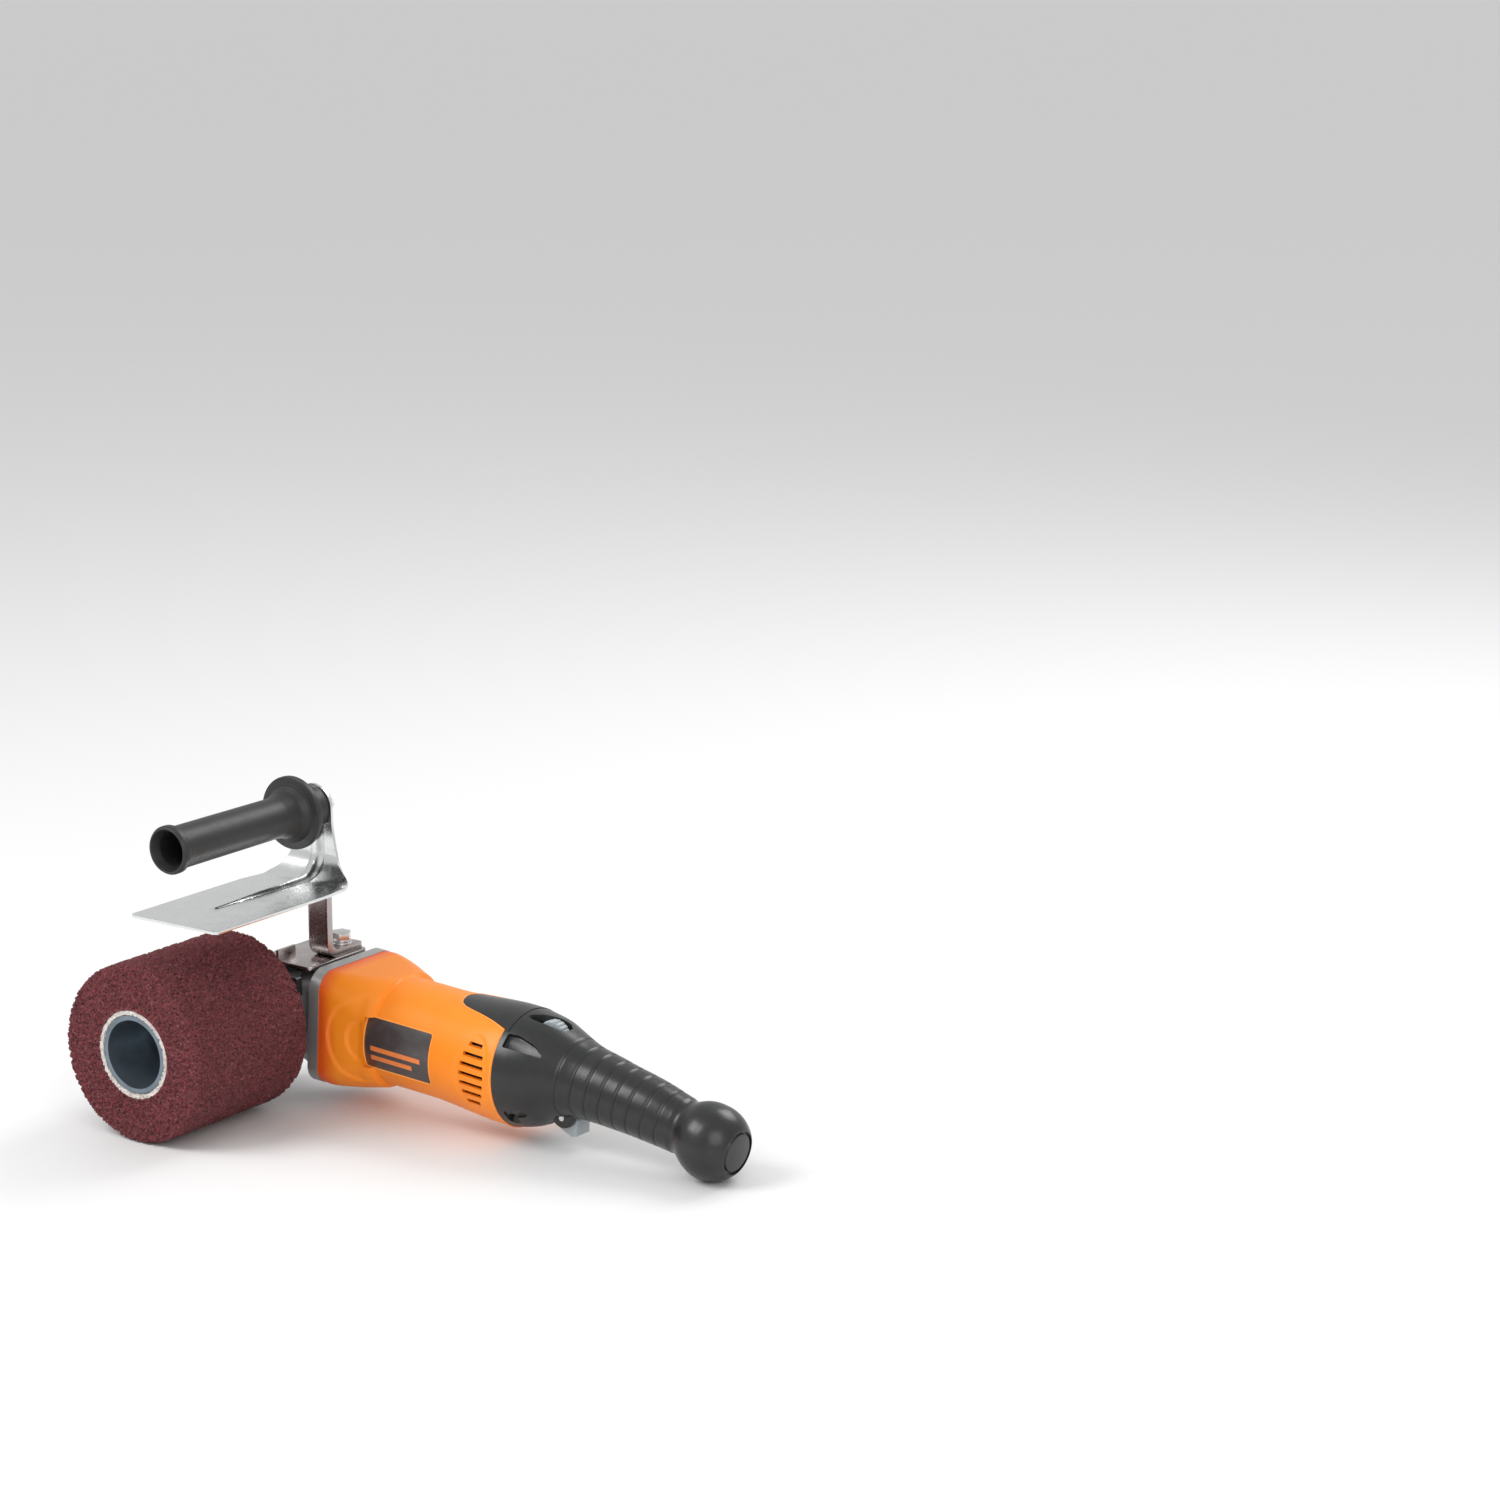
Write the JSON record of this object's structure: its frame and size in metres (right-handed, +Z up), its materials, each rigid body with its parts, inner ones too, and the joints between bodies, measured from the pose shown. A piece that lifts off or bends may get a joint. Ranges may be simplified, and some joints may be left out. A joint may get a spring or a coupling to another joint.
{
  "type": "drum angle grinder",
  "caption": "Hand grinder with a motor body in line with its grip, a cross spindle carrying an abrasive drum, a steel guard over the drum and a top handle.",
  "frame": {"origin": "on the floor, under the middle of the whole tool, as it rests on its drum and on the ball at the end of its grip", "axes": "+X along the body towards the grip's end, +Y along the spindle away from the drum, +Z up"},
  "size_m": [0.4148, 0.1893, 0.2173],
  "materials": {
    "orange_plastic": "satin",
    "black_plastic": "satin",
    "cast_alloy": "matte",
    "zinc_steel": "satin",
    "screw_steel": "satin",
    "machined_steel": "satin",
    "bearing_steel": "polished",
    "abrasive_fleece": "matte",
    "drum_glue": "matte",
    "drum_tube_board": "satin",
    "fan_plastic": "matte",
    "felt": "matte",
    "bronze": "satin",
    "badge": "satin",
    "lamination_steel": "matte",
    "copper_wire": "satin",
    "carbon": "matte",
    "brass": "satin",
    "trigger_plastic": "satin",
    "switch_plastic": "satin",
    "board_laminate": "satin"
  },
  "bodies": {
    "root": {"gear_case": "cast_alloy", "bearing_cover": "cast_alloy", "cover_screws": "screw_steel", "felt_seal": "felt", "tail_bush": "bronze", "spindle_bearing_outer": "bearing_steel", "armature_bearing_outers": "bearing_steel", "motor_housing": "orange_plastic", "badge_plate": "badge", "motor_screws": "screw_steel", "fan_baffle": "fan_plastic", "field_core": "lamination_steel", "field_coils": "copper_wire", "carbon_brushes": "carbon", "brush_holders": "brass", "brush_springs": "screw_steel", "grip_shell_left": "black_plastic", "grip_shell_right": "black_plastic", "shell_screws": "screw_steel", "cord_inlet": "black_plastic", "trigger_pin": "screw_steel", "trigger_spring": "screw_steel", "switch_body": "switch_plastic", "dial_potentiometer": "switch_plastic", "circuit_board": "board_laminate", "board_chips": "switch_plastic", "handle_bar": "zinc_steel", "base_plate": "zinc_steel", "bracket_washer": "zinc_steel", "bracket_bolt": "zinc_steel", "guard_sheet": "zinc_steel", "top_handle": "black_plastic", "handle_stud": "zinc_steel", "handle_nut": "zinc_steel", "lock_spring": "screw_steel", "spindle_bearing_balls": "bearing_steel", "armature_bearing_balls": "bearing_steel"},
    "drum": {"drum_spindle": "machined_steel", "gear_key": "machined_steel", "crown_gear": "machined_steel", "spindle_bearing_inner": "bearing_steel", "drum_hub": "cast_alloy", "drum_key": "machined_steel", "drum_tube": "drum_tube_board", "drum_fleece": "abrasive_fleece", "glue_rings": "drum_glue", "clamp_washer": "screw_steel", "spindle_screw": "screw_steel"},
    "armature": {"armature_shaft": "machined_steel", "armature_core": "lamination_steel", "armature_windings": "copper_wire", "commutator": "copper_wire", "cooling_fan": "fan_plastic", "pinion": "machined_steel", "pinion_nut": "screw_steel", "armature_bearing_inners": "bearing_steel"},
    "trigger": {"trigger": "trigger_plastic"},
    "plunger": {"switch_plunger": "switch_plastic"},
    "dial": {"speed_dial": "trigger_plastic"},
    "lock": {"lock_button": "black_plastic"}
  },
  "joints": [
    {"name": "drum_spin", "type": "hinge", "parent": "root", "child": "drum", "pos_m": [-0.14973, 0.05635, 0.0575], "axis": [0, 1, 0], "continuous": true},
    {"name": "armature_spin", "type": "hinge", "parent": "root", "child": "armature", "pos_m": [-0.14973, 0.05635, 0.0575], "axis": [0.9982, 0, -0.0593], "continuous": true},
    {"name": "trigger_pull", "type": "hinge", "parent": "root", "child": "trigger", "pos_m": [0.07827, 0.05635, 0.022], "axis": [0, -1, 0], "range_deg": [0, 14], "stiffness_Nm_per_rad": 0.6, "springref_deg": -17.19},
    {"name": "plunger_press", "type": "slide", "parent": "root", "child": "plunger", "axis": [0, 0, 1], "range_m": [0, 0.0016]},
    {"name": "dial_turn", "type": "hinge", "parent": "root", "child": "dial", "pos_m": [0.06477, 0.05635, 0.0695], "axis": [0, 1, 0], "range_deg": [0, 150]},
    {"name": "lock_press", "type": "slide", "parent": "root", "child": "lock", "axis": [0, 1, 0], "range_m": [0, 0.004], "stiffness_N_per_m": 600, "springref_m": -0.003, "deforming": ["lock_spring"]}
  ],
  "couplings": [
    {"joint": "armature_spin", "follows": "drum_spin", "ratio": 4},
    {"joint": "plunger_press", "follows": "trigger_pull", "m_per_rad": 0.0065}
  ]
}
